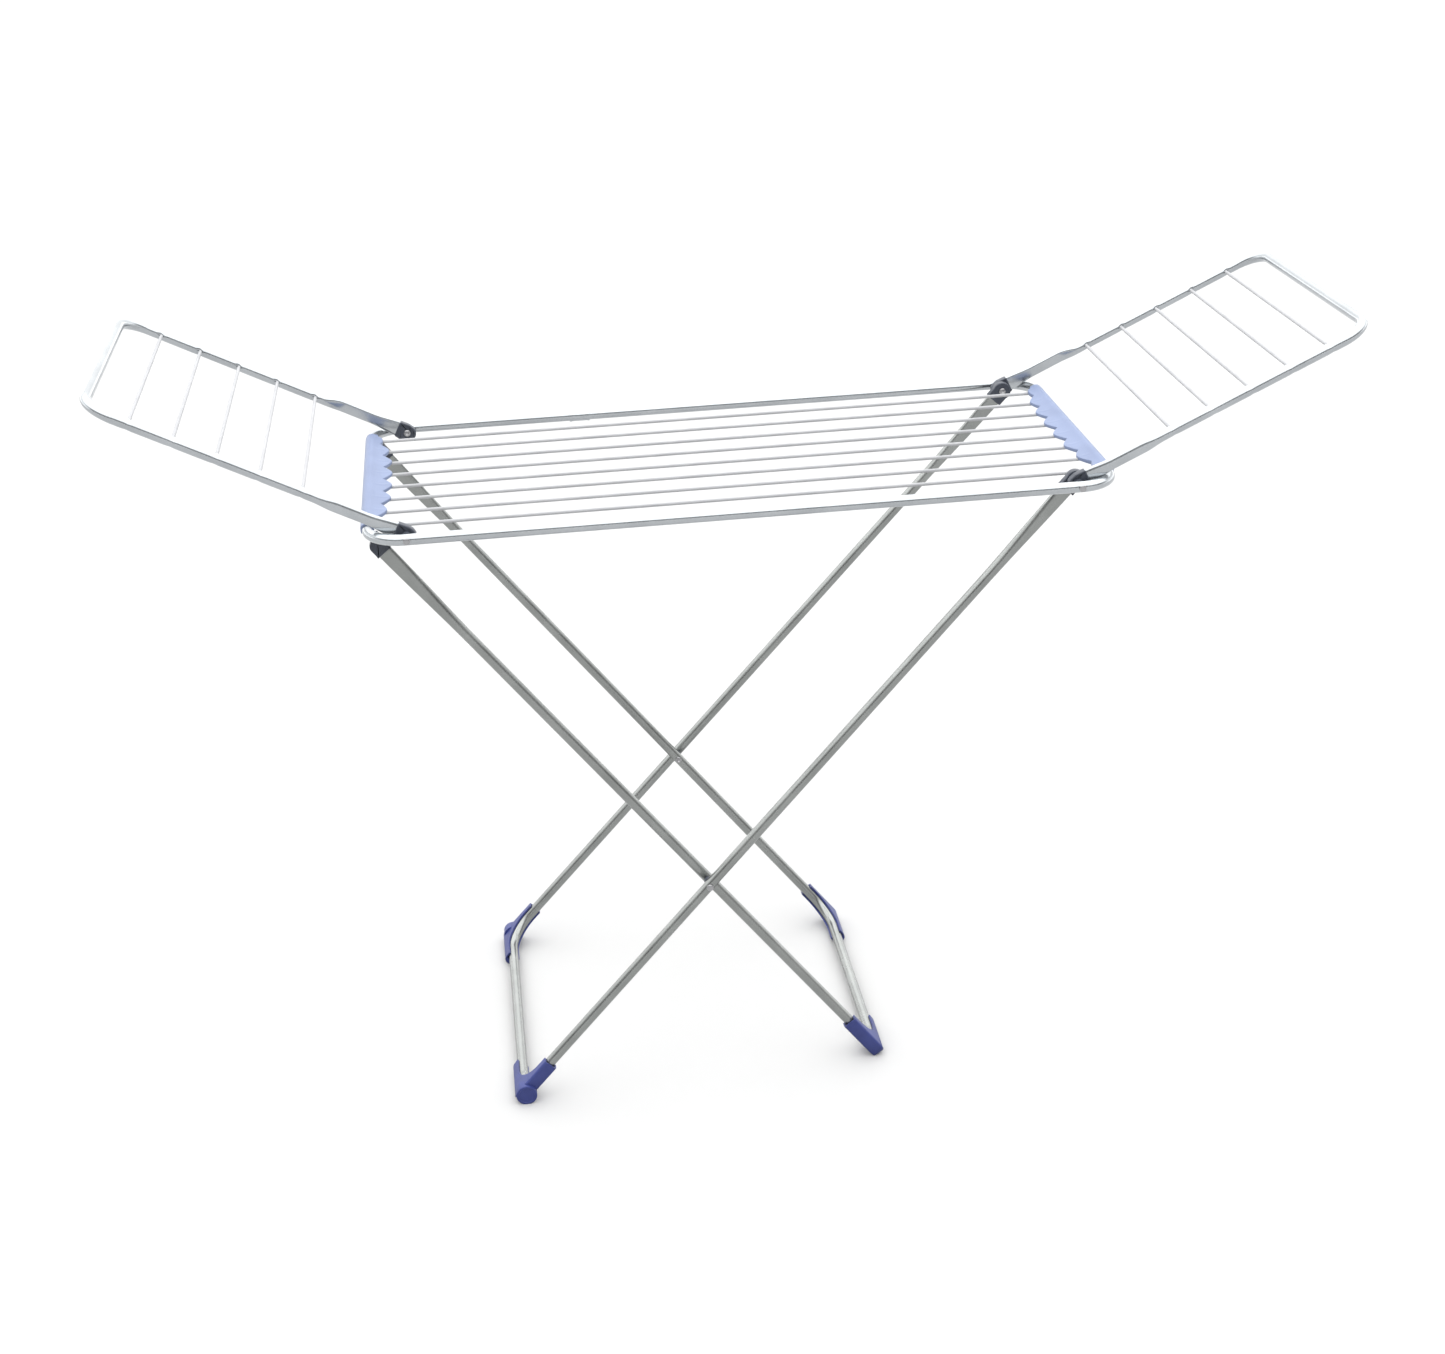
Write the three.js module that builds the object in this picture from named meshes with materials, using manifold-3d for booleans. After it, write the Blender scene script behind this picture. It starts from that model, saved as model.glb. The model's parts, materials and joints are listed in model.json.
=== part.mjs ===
// Folding winged clothes airer, open for use.
// Millimetres, +Z up, X along the rack, Y across it, floor at z = 0.
// Every tube, rod, comb, cap, shoe and rivet is its own closed solid.
import * as THREE from 'three';
import { mergeVertices } from 'three/addons/utils/BufferGeometryUtils.js';
import Module from 'manifold-3d';

const wasm = await Module();
wasm.setup();

// Stock
const TUBE_R = 8;
const TUBE_SIDES = 12;
const ROD_R = 2.5;
const ROD_SIDES = 8;
const GAP = 0.3;
const BEND_STEPS = 6;

// Centre frame
const FRAME_Z = 925;
const LEFT_END_X = -534;
const RIGHT_END_X = 522;
const RAIL_Y = 270;
const FRAME_BEND_R = 52;
const JOINT_X = -207;
const JOINT_LENGTH = 32;
const JOINT_GAP = 1;
const JOINT_SLEEVE_R = 9.6;

// Drying wires of the centre frame
const WIRE_COUNT = 8;
const WIRE_PITCH = 58.4;
const WIRE_END_INSET = 9;
const OUTER_WIRE_Y = WIRE_PITCH * (WIRE_COUNT - 1) / 2;

// Combs: shells over the end tubes, each with a toothed plate that holds the wires
const COMB_HALF_LENGTH = 218;
const COMB_SHELL_R = 10.3;
const COMB_BORE_R = TUBE_R + 1.6 * GAP;
const COMB_CORNER = 7;
const COMB_TIP_REACH = 33;
const COMB_TIP_FALL = 17;
const COMB_VALLEY_REACH = 19.5;
const COMB_VALLEY_FALL = 10;
const COMB_PLATE_TOP = 5.6;
const COMB_PLATE_TIP_TOP = 4.4;
const COMB_PLATE_BOTTOM = -2;
const COMB_PLATE_REACH = 36;
const COMB_SKIRT_ANGLE = 210;
const COMB_END_RAMP = 8;
const TOOTH_STEP_Y = WIRE_PITCH / 8;
const WIRE_GROOVE_R = ROD_R + GAP;

// Hinges of the wings and of the outer legs, on the rails
const LEFT_PIVOT_X = -480;
const RIGHT_PIVOT_X = 469.6;
const RIVET_R = 3;
const RIVET_HOLE_R = 3.4;
const RIVET_HEAD_R = 5.2;
const RIVET_HEAD_T = 2;
const ROUND_SIDES = 12;
const WASHER_R = 6.5;
const WASHER_CLEARANCE = 1.3; // the rails already start to bend at the hinges

// Wings: U-shaped tubes whose arm ends are pressed into flat blades
const WING_LENGTH = 464;
const WING_ARM_Y = 241;
const WING_BEND_R = 44;
const LEFT_WING_RISE = 27.3;
const RIGHT_WING_RISE = 24.7;
const WING_ROD_COUNT = 5;
const WING_ROD_FIRST = 152.5;
const WING_ROD_PITCH = 62.1;
const BLADE_T = 7;
const BLADE_W = 22;
const WING_BLADE_SHIFT = 6;
const BLADE_START = -6;
const BLADE_NOSE = 10;
const BLADE_NOSE_LENGTH = 17;
const WING_BLADE_NARROWS = 60;
const WING_BLADE_END = 105;
const WING_ROUND_AGAIN = 138;
const WING_BLADE_Y = WING_ARM_Y + WING_BLADE_SHIFT;
const WING_CAP_T = 12.4;
const CAP_CAVITY_T = BLADE_T + 0.8;

// Outer leg frame, hung from the right-hand rivets
const OUTER_FOOT_X = -384;
const CROSSBAR_Z = 14;
const OUTER_TOP_Y = 233;
const OUTER_FOOT_Y = 251;
const LEG_BEND_R = 48;
const LEG_ROUND_AGAIN = 200;
const OUTER_CAP_T = 11.6;

// Inner leg frame, which bears under the left end tube
const INNER_TOP_X = -528;
const INNER_TOP_Z = 911.4;
const INNER_FOOT_X = 165;
const INNER_Y = 219;
const INNER_TUBE_START = 5;
const HOOK_CAP_T = 13.6;

// Shoes on the four feet
const SHOE_HALF_T = 11;
const SHOE_OUT = 11;
const SHOE_IN = 9.5;
const SHOE_CORNER = 12;
const SHOE_UP_LEG = 63;
const SHOE_ALONG_BAR = 78;
const SHOE_BORE = TUBE_R + 0.5;
const HEEL_R = 16;
const HEEL_CENTRE = { along: -2.5, normal: 1.8 };
const HEEL_SIDES = 24;
const HEEL_LENGTH = 19;
const HEEL_PROUD = 2;

const metalness = { metal: 0.6, plastic: 0 };
const silverTube = new THREE.MeshStandardMaterial({ color: 0xc9cdd2, roughness: 0.42, metalness: metalness.metal });
const whiteRod = new THREE.MeshStandardMaterial({ color: 0xf1f2f4, roughness: 0.35, metalness: metalness.plastic });
const combBlue = new THREE.MeshStandardMaterial({ color: 0x8fa4d8, roughness: 0.5, metalness: metalness.plastic });
const capGrey = new THREE.MeshStandardMaterial({ color: 0x2b3039, roughness: 0.45, metalness: metalness.plastic });
const shoeBlue = new THREE.MeshStandardMaterial({ color: 0x2c3186, roughness: 0.45, metalness: metalness.plastic });
const rivetSteel = new THREE.MeshStandardMaterial({ color: 0xb9bcc0, roughness: 0.3, metalness: metalness.metal });

// ---- Solids and cuts --------------------------------------------------------------------

function toSolid(geometry) {
  const bare = geometry.clone();
  bare.deleteAttribute('normal');
  bare.deleteAttribute('uv');
  const merged = mergeVertices(bare, 1e-4);
  return new wasm.Manifold(new wasm.Mesh({
    numProp: 3,
    vertProperties: Float32Array.from(merged.attributes.position.array),
    triVerts: Uint32Array.from(merged.index.array),
  }));
}

function toGeometry(solid) {
  const mesh = solid.getMesh();
  const geometry = new THREE.BufferGeometry();
  geometry.setAttribute('position', new THREE.BufferAttribute(mesh.vertProperties, 3));
  geometry.setIndex(new THREE.BufferAttribute(mesh.triVerts, 1));
  geometry.computeVertexNormals();
  return geometry;
}

function cut(geometry, tools) {
  const start = toSolid(geometry);
  return toGeometry(tools.reduce((solid, tool) => solid.subtract(toSolid(tool)), start));
}

function addPiece(parent, name, geometry, material) {
  const mesh = new THREE.Mesh(geometry, material.clone());
  mesh.name = name;
  parent.add(mesh);
  return mesh;
}

// A round bar along Y through (x, z), between the two given values of y.
function barAlongY(radius, sides, x, z, fromY, toY) {
  const geometry = new THREE.CylinderGeometry(radius, radius, Math.abs(toY - fromY), sides);
  geometry.translate(x, (fromY + toY) / 2, z);
  return geometry;
}

function barAlongX(radius, sides, fromX, toX, y, z) {
  const geometry = new THREE.CylinderGeometry(radius, radius, toX - fromX, sides);
  geometry.rotateZ(Math.PI / 2);
  geometry.translate((fromX + toX) / 2, y, z);
  return geometry;
}

// An outline of [x, z] pairs made into a plate that stands across Y.
function plateAcrossY(outline, thickness, middleY) {
  const shape = new THREE.Shape(outline.map(([x, z]) => new THREE.Vector2(x, z)));
  const geometry = new THREE.ExtrudeGeometry(shape, { depth: thickness, bevelEnabled: false });
  geometry.rotateX(Math.PI / 2);
  geometry.translate(0, middleY + thickness / 2, 0);
  return geometry;
}

// An outline of [x, y] pairs made into a flat plate between two heights.
function plateAcrossZ(outline, fromZ, toZ) {
  const shape = new THREE.Shape(outline.map(([x, y]) => new THREE.Vector2(x, y)));
  const geometry = new THREE.ExtrudeGeometry(shape, { depth: toZ - fromZ, bevelEnabled: false });
  geometry.translate(0, 0, fromZ);
  return geometry;
}

// Points on a circle, with angles in degrees.
function arcPoints(centreX, centreY, radius, fromAngle, toAngle, steps) {
  return Array.from({ length: steps + 1 }, (_, i) => {
    const angle = THREE.MathUtils.degToRad(fromAngle + (toAngle - fromAngle) * i / steps);
    return [centreX + radius * Math.cos(angle), centreY + radius * Math.sin(angle)];
  });
}

// ---- Bent tubes -------------------------------------------------------------------------

// A route of straight runs and round bends, sampled at its own stations.
class Route extends THREE.Curve {
  constructor(stations) {
    super();
    this.stations = stations;
  }

  station(u) {
    return this.stations[Math.round(u * (this.stations.length - 1))];
  }

  getPointAt(u, target = new THREE.Vector3()) {
    return target.copy(this.station(u).point);
  }

  getTangentAt(u, target = new THREE.Vector3()) {
    return target.copy(this.station(u).tangent);
  }
}

// The stations of a route through the given corners. endStops are extra stations,
// measured from each end, where the section of the tube changes.
function routeThrough(corners, bendRadius, endStops) {
  const stations = [];
  const last = corners.length - 1;
  const startRun = corners[1].clone().sub(corners[0]).normalize();
  const endRun = corners[last].clone().sub(corners[last - 1]).normalize();
  for (const stop of [0, ...endStops]) {
    stations.push({ point: corners[0].clone().addScaledVector(startRun, stop), tangent: startRun });
  }
  for (let i = 1; i < last; i += 1) {
    const into = corners[i].clone().sub(corners[i - 1]).normalize();
    const out = corners[i + 1].clone().sub(corners[i]).normalize();
    const turn = into.angleTo(out);
    const side = out.clone().addScaledVector(into, -into.dot(out)).normalize();
    const centre = corners[i].clone()
      .addScaledVector(into, -bendRadius * Math.tan(turn / 2))
      .addScaledVector(side, bendRadius);
    for (let step = 0; step <= BEND_STEPS; step += 1) {
      const angle = turn * step / BEND_STEPS;
      const point = centre.clone()
        .addScaledVector(side, -bendRadius * Math.cos(angle))
        .addScaledVector(into, bendRadius * Math.sin(angle));
      const tangent = into.clone().multiplyScalar(Math.cos(angle)).addScaledVector(side, Math.sin(angle));
      stations.push({ point, tangent });
    }
  }
  for (const stop of [...endStops].reverse().concat(0)) {
    stations.push({ point: corners[last].clone().addScaledVector(endRun, -stop), tangent: endRun });
  }
  return new Route(stations);
}

function bentTube(route) {
  const section = new THREE.Shape(
    arcPoints(0, 0, TUBE_R, 0, 360 - 360 / TUBE_SIDES, TUBE_SIDES - 1).map(([x, y]) => new THREE.Vector2(x, y)),
  );
  const steps = route.stations.length - 1;
  return new THREE.ExtrudeGeometry(section, { steps, extrudePath: route, bevelEnabled: false });
}

function smoothStep(value, low, high) {
  return THREE.MathUtils.smoothstep(value, low, high);
}

// Presses one end of a tube flat. sizes(distance) gives the width in the plane of the
// hinge, the thickness across it and the outward shift, at a distance from the start.
function pressEnd(geometry, start, along, length, firstStation, sizes) {
  const side = Math.sign(start.y);
  const position = geometry.attributes.position;
  const vertex = new THREE.Vector3();
  for (let i = 0; i < position.count; i += 1) {
    vertex.fromBufferAttribute(position, i);
    const distance = vertex.clone().sub(start).dot(along);
    if (vertex.y * side > 0 && distance < length) {
      const axis = start.clone().addScaledVector(along, distance);
      const { width, thickness, shift } = sizes(distance + firstStation);
      const offset = vertex.clone().sub(axis);
      position.setXYZ(
        i,
        axis.x + offset.x * width / (2 * TUBE_R),
        axis.y + offset.y * thickness / (2 * TUBE_R) + side * shift,
        axis.z + offset.z * width / (2 * TUBE_R),
      );
    }
  }
}

// The rounded nose that every pressed end has inside its cap.
function noseWidth(distance) {
  const back = Math.max(0, BLADE_NOSE - distance) / BLADE_NOSE_LENGTH;
  return BLADE_W * Math.sqrt(1 - back * back);
}

function wingBlade(distance) {
  const press = 1 - smoothStep(distance, WING_BLADE_END, WING_ROUND_AGAIN);
  const spread = 1 - smoothStep(distance, BLADE_NOSE, WING_BLADE_NARROWS);
  const round = 2 * TUBE_R;
  const wide = round + press * (1 + (BLADE_W - 1 - round) * spread);
  return {
    width: distance < BLADE_NOSE ? noseWidth(distance) : wide,
    thickness: round + (BLADE_T - round) * press,
    shift: WING_BLADE_SHIFT * press,
  };
}

function legBlade(distance) {
  const press = 1 - smoothStep(distance, BLADE_NOSE, LEG_ROUND_AGAIN);
  const round = 2 * TUBE_R;
  return {
    width: distance < BLADE_NOSE ? noseWidth(distance) : round + (BLADE_W - round) * press,
    thickness: round + (BLADE_T - round) * press,
    shift: 0,
  };
}

// ---- Rivets and washers -----------------------------------------------------------------

// A rivet along +Y, from its outer head at outerY down to its inner head at innerY.
function rivetGeometry(outerY, innerY) {
  const dome = RIVET_HEAD_T * 0.5;
  const profile = [
    [0, innerY - RIVET_HEAD_T],
    [RIVET_HEAD_R * 0.6, innerY - RIVET_HEAD_T],
    [RIVET_HEAD_R, innerY - dome],
    [RIVET_HEAD_R, innerY],
    [RIVET_R, innerY],
    [RIVET_R, outerY],
    [RIVET_HEAD_R, outerY],
    [RIVET_HEAD_R, outerY + dome],
    [RIVET_HEAD_R * 0.6, outerY + RIVET_HEAD_T],
    [0, outerY + RIVET_HEAD_T],
  ];
  return new THREE.LatheGeometry(profile.map(([r, y]) => new THREE.Vector2(r, y)), ROUND_SIDES);
}

function ringGeometry(innerR, outerR, fromY, toY, sides) {
  const profile = [
    [innerR, fromY],
    [outerR, fromY],
    [outerR, toY],
    [innerR, toY],
    [innerR, fromY],
  ];
  return new THREE.LatheGeometry(profile.map(([r, y]) => new THREE.Vector2(r, y)), sides);
}

// Places a piece made for the +Y side on either side of the rack.
function placeOnSide(mesh, x, z, side) {
  mesh.position.set(x, 0, z);
  mesh.rotation.x = side > 0 ? 0 : Math.PI;
}

// ---- Centre frame -----------------------------------------------------------------------

function makeCentreFrame(parent) {
  const halfGap = JOINT_GAP / 2;
  const corner = (x, y) => new THREE.Vector3(x, y, FRAME_Z);
  const loop = routeThrough([
    corner(JOINT_X + halfGap, RAIL_Y),
    corner(RIGHT_END_X, RAIL_Y),
    corner(RIGHT_END_X, -RAIL_Y),
    corner(LEFT_END_X, -RAIL_Y),
    corner(LEFT_END_X, RAIL_Y),
    corner(JOINT_X - halfGap, RAIL_Y),
  ], FRAME_BEND_R, []);
  const holes = [];
  for (const x of [LEFT_PIVOT_X, RIGHT_PIVOT_X]) {
    for (const side of [1, -1]) {
      const near = side * (RAIL_Y - 2 * TUBE_R);
      const far = side * (RAIL_Y + 2 * TUBE_R);
      holes.push(barAlongY(RIVET_HOLE_R, ROUND_SIDES, x, FRAME_Z, Math.min(near, far), Math.max(near, far)));
    }
  }
  addPiece(parent, 'centre_frame_tube', cut(bentTube(loop), holes), silverTube);

  const sleeve = ringGeometry(TUBE_R + GAP, JOINT_SLEEVE_R, -JOINT_LENGTH / 2, JOINT_LENGTH / 2, TUBE_SIDES);
  sleeve.rotateZ(Math.PI / 2);
  sleeve.translate(JOINT_X, RAIL_Y, FRAME_Z);
  addPiece(parent, 'frame_joint_sleeve', sleeve, silverTube);
}

function makeWires(parent) {
  for (let i = 0; i < WIRE_COUNT; i += 1) {
    const y = OUTER_WIRE_Y - i * WIRE_PITCH;
    const fromX = LEFT_END_X + WIRE_END_INSET;
    const toX = RIGHT_END_X - WIRE_END_INSET;
    addPiece(parent, `drying_wire_${i + 1}`, barAlongX(ROD_R, ROD_SIDES, fromX, toX, y, FRAME_Z), whiteRod);
  }
}

// How far the comb reaches inward from the end tube's axis at a given y.
function combReach(y) {
  const taper = Math.min(1, Math.abs(y) / OUTER_WIRE_Y) ** 3;
  const tip = COMB_TIP_REACH - COMB_TIP_FALL * taper;
  const valley = COMB_VALLEY_REACH - COMB_VALLEY_FALL * taper;
  const beyond = Math.abs(y) - OUTER_WIRE_Y;
  const nearest = Math.abs((y + OUTER_WIRE_Y) / WIRE_PITCH - Math.round((y + OUTER_WIRE_Y) / WIRE_PITCH));
  const away = beyond > 0 ? Math.min(1, beyond / COMB_END_RAMP) : 2 * nearest;
  return valley + (tip - valley) * (1 - Math.sin(away * Math.PI / 2));
}

// inward is +1 on the left end tube and -1 on the right one.
function makeComb(parent, name, tubeX, inward) {
  const teeth = [];
  const toothSteps = Math.round(2 * OUTER_WIRE_Y / TOOTH_STEP_Y);
  teeth.push([combReach(-COMB_HALF_LENGTH), -COMB_HALF_LENGTH]);
  teeth.push([combReach(-OUTER_WIRE_Y - COMB_END_RAMP), -OUTER_WIRE_Y - COMB_END_RAMP]);
  teeth.push([combReach(-OUTER_WIRE_Y - COMB_END_RAMP / 2), -OUTER_WIRE_Y - COMB_END_RAMP / 2]);
  for (let i = 0; i <= toothSteps; i += 1) {
    const y = -OUTER_WIRE_Y + i * TOOTH_STEP_Y;
    teeth.push([combReach(y), y]);
  }
  teeth.push([combReach(OUTER_WIRE_Y + COMB_END_RAMP / 2), OUTER_WIRE_Y + COMB_END_RAMP / 2]);
  teeth.push([combReach(OUTER_WIRE_Y + COMB_END_RAMP), OUTER_WIRE_Y + COMB_END_RAMP]);
  teeth.push([combReach(COMB_HALF_LENGTH), COMB_HALF_LENGTH]);
  const outerX = -COMB_SHELL_R - 1;
  const cornerX = outerX + COMB_CORNER;
  const cornerY = COMB_HALF_LENGTH - COMB_CORNER;
  const plan = [
    ...teeth,
    ...arcPoints(cornerX, cornerY, COMB_CORNER, 90, 180, 3),
    ...arcPoints(cornerX, -cornerY, COMB_CORNER, 180, 270, 3),
  ].map(([x, y]) => [inward * x, y]);

  const shellJoin = Math.asin(COMB_PLATE_TOP / COMB_SHELL_R) * THREE.MathUtils.RAD2DEG;
  const boreJoin = Math.asin(COMB_PLATE_BOTTOM / COMB_BORE_R) * THREE.MathUtils.RAD2DEG;
  const section = [
    ...arcPoints(0, 0, COMB_SHELL_R, COMB_SKIRT_ANGLE, shellJoin, 10),
    [COMB_PLATE_REACH, COMB_PLATE_TIP_TOP],
    [COMB_PLATE_REACH, COMB_PLATE_BOTTOM],
    ...arcPoints(0, 0, COMB_BORE_R, boreJoin, COMB_SKIRT_ANGLE, 14),
  ].map(([x, z]) => [inward * x, z]);

  const bar = toSolid(plateAcrossY(section, 2 * COMB_HALF_LENGTH + 2, 0));
  let comb = bar.intersect(toSolid(plateAcrossZ(plan, -2 * COMB_SHELL_R, 2 * COMB_SHELL_R)));
  for (let i = 0; i < WIRE_COUNT; i += 1) {
    const ends = [inward * TUBE_R, inward * 2 * COMB_PLATE_REACH];
    const y = OUTER_WIRE_Y - i * WIRE_PITCH;
    comb = comb.subtract(toSolid(barAlongX(WIRE_GROOVE_R, ROD_SIDES, Math.min(...ends), Math.max(...ends), y, 0)));
  }
  addPiece(parent, name, toGeometry(comb), combBlue).position.set(tubeX, 0, FRAME_Z);
}

// The rivets that carry the wings, and on the right the outer legs too.
function makeRailRivets(parent) {
  const outerY = RAIL_Y + TUBE_R + GAP;
  const wingCapInner = WING_BLADE_Y - WING_CAP_T / 2 - GAP;
  const legCapInner = OUTER_TOP_Y - OUTER_CAP_T / 2 - GAP;
  const hinges = [
    { end: 'left', x: LEFT_PIVOT_X, innerY: wingCapInner },
    { end: 'right', x: RIGHT_PIVOT_X, innerY: legCapInner },
  ];
  for (const hinge of hinges) {
    for (const [place, side] of [['front', -1], ['back', 1]]) {
      const rivet = addPiece(parent, `${hinge.end}_${place}_rivet`, rivetGeometry(outerY, hinge.innerY), rivetSteel);
      placeOnSide(rivet, hinge.x, FRAME_Z, side);
      const fromY = WING_BLADE_Y + WING_CAP_T / 2 + GAP;
      const toY = RAIL_Y - TUBE_R - WASHER_CLEARANCE;
      const ring = ringGeometry(RIVET_HOLE_R, WASHER_R, fromY, toY, ROUND_SIDES);
      placeOnSide(addPiece(parent, `${hinge.end}_${place}_washer`, ring, capGrey), hinge.x, FRAME_Z, side);
    }
  }
}

// ---- Wings ------------------------------------------------------------------------------

// Wings are drawn flat, hinge axis at the origin and arms along +X. The outlines of caps
// are [along the arm, height] pairs, and up is -1 where the wing's own Z points down.
function makeWing(parent, end, pivotX, turn, up) {
  const wing = new THREE.Group();
  wing.position.set(pivotX, 0, FRAME_Z);
  wing.rotation.y = THREE.MathUtils.degToRad(turn);
  parent.add(wing);

  const corner = (x, y) => new THREE.Vector3(x, y, 0);
  const route = routeThrough([
    corner(BLADE_START, WING_ARM_Y),
    corner(WING_LENGTH, WING_ARM_Y),
    corner(WING_LENGTH, -WING_ARM_Y),
    corner(BLADE_START, -WING_ARM_Y),
  ], WING_BEND_R, [3, 6, 11, 16, 30, 46, 66, 111, 120, 128, 136, 144]);
  const tube = bentTube(route);
  for (const side of [1, -1]) {
    const start = corner(BLADE_START, side * WING_ARM_Y);
    pressEnd(tube, start, new THREE.Vector3(1, 0, 0), WING_ROD_FIRST, BLADE_START, wingBlade);
  }
  const hole = barAlongY(RIVET_HOLE_R, ROUND_SIDES, 0, 0, -RAIL_Y, RAIL_Y);
  addPiece(wing, `${end}_wing_tube`, cut(tube, [hole]), silverTube);

  const rodEnd = WING_ARM_Y - TUBE_R - GAP;
  for (let i = 0; i < WING_ROD_COUNT; i += 1) {
    const x = WING_ROD_FIRST + i * WING_ROD_PITCH;
    addPiece(wing, `${end}_wing_rod_${i + 1}`, barAlongY(ROD_R, ROD_SIDES, x, 0, -rodEnd, rodEnd), whiteRod);
  }

  const outline = [
    [16.5, -11.9],
    [16.5, 12.3],
    [1, 13],
    [-6.5, 11],
    [-11.8, 7.6],
    [-14.2, 2],
    [-14.2, -4.6],
    [6.8, -14],
  ].map(([x, z]) => [x, up * z]);
  const cavity = [
    [17.5, -11.4],
    [17.5, 11.4],
    [2, 11.4],
    [-5, 9],
    [-8, 5.5],
    [-8, -5.5],
    [-4, -7.9],
    [3, -11],
  ].map(([x, z]) => [x, up * z]);
  for (const [place, side] of [['front', -1], ['back', 1]]) {
    const middle = side * WING_BLADE_Y;
    const body = plateAcrossY(outline, WING_CAP_T, middle);
    const cap = cut(body, [plateAcrossY(cavity, CAP_CAVITY_T, middle), hole]);
    addPiece(wing, `${end}_wing_${place}_cap`, cap, capGrey);
  }
}

// ---- Legs -------------------------------------------------------------------------------

// A leg frame is drawn in its own plane: +X runs down the legs from the top, Z is normal.
function makeLegGroup(parent, topX, topZ, footX) {
  const run = new THREE.Vector2(footX - topX, CROSSBAR_Z - topZ);
  const group = new THREE.Group();
  group.position.set(topX, 0, topZ);
  group.rotation.y = Math.atan2(-run.y, run.x);
  parent.add(group);
  return { group, length: run.length(), down: run.normalize() };
}

function legRoute(startX, length, topY, footY) {
  const lean = (footY - topY) / length;
  const startY = topY + lean * startX;
  return routeThrough([
    new THREE.Vector3(startX, startY, 0),
    new THREE.Vector3(length, footY, 0),
    new THREE.Vector3(length, -footY, 0),
    new THREE.Vector3(startX, -startY, 0),
  ], LEG_BEND_R, [3, 6, 11, 16, 45, 75, 105, 135, 165, 195, 206]);
}

// A corner shoe: a channel, open to the inside of the bend, with a solid outer corner.
// Its outline runs a distance up the leg and a distance along the crossbar.
function shoeGeometry(leg, topY, footY, side, hasHeel) {
  const upLeg = new THREE.Vector2(-leg.length, side * (topY - footY)).normalize();
  const place = ([up, along]) => [
    leg.length + upLeg.x * up,
    side * footY + upLeg.y * up - side * along,
  ];
  const body = [
    [SHOE_UP_LEG, -SHOE_OUT],
    ...arcPoints(SHOE_CORNER - SHOE_OUT, SHOE_CORNER - SHOE_OUT, SHOE_CORNER, 270, 180, 4),
    [-SHOE_OUT, SHOE_ALONG_BAR],
    [SHOE_IN, SHOE_ALONG_BAR],
    ...arcPoints(LEG_BEND_R, LEG_BEND_R, LEG_BEND_R - SHOE_IN, 180, 270, 6),
    [SHOE_UP_LEG, SHOE_IN],
  ].map(place);
  const beyond = 1;
  const channel = [
    [SHOE_UP_LEG + beyond, -SHOE_BORE],
    ...arcPoints(LEG_BEND_R, LEG_BEND_R, LEG_BEND_R + SHOE_BORE + 0.4, 270, 180, 8),
    [-SHOE_BORE, SHOE_ALONG_BAR + beyond],
    [SHOE_IN + beyond, SHOE_ALONG_BAR + beyond],
    ...arcPoints(LEG_BEND_R, LEG_BEND_R, LEG_BEND_R - SHOE_IN - beyond, 180, 270, 6),
    [SHOE_UP_LEG + beyond, SHOE_IN + beyond],
  ].map(place);
  let shoe = toSolid(plateAcrossZ(body, -SHOE_HALF_T, SHOE_HALF_T));
  if (hasHeel) {
    const outer = side * (footY + SHOE_OUT + HEEL_PROUD);
    const inner = outer - side * HEEL_LENGTH;
    const centreX = leg.length + HEEL_CENTRE.along;
    const fromY = Math.min(outer, inner);
    const toY = Math.max(outer, inner);
    shoe = shoe.add(toSolid(barAlongY(HEEL_R, HEEL_SIDES, centreX, HEEL_CENTRE.normal, fromY, toY)));
  }
  shoe = shoe.subtract(toSolid(plateAcrossZ(channel, -SHOE_BORE, SHOE_BORE)));

  const ground = new THREE.BoxGeometry(4 * SHOE_ALONG_BAR, 4 * SHOE_ALONG_BAR, 2 * SHOE_ALONG_BAR);
  ground.translate(leg.footX, side * footY, -SHOE_ALONG_BAR);
  leg.group.updateMatrixWorld(true);
  ground.applyMatrix4(leg.group.matrixWorld.clone().invert());
  return toGeometry(shoe.subtract(toSolid(ground)));
}

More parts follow.
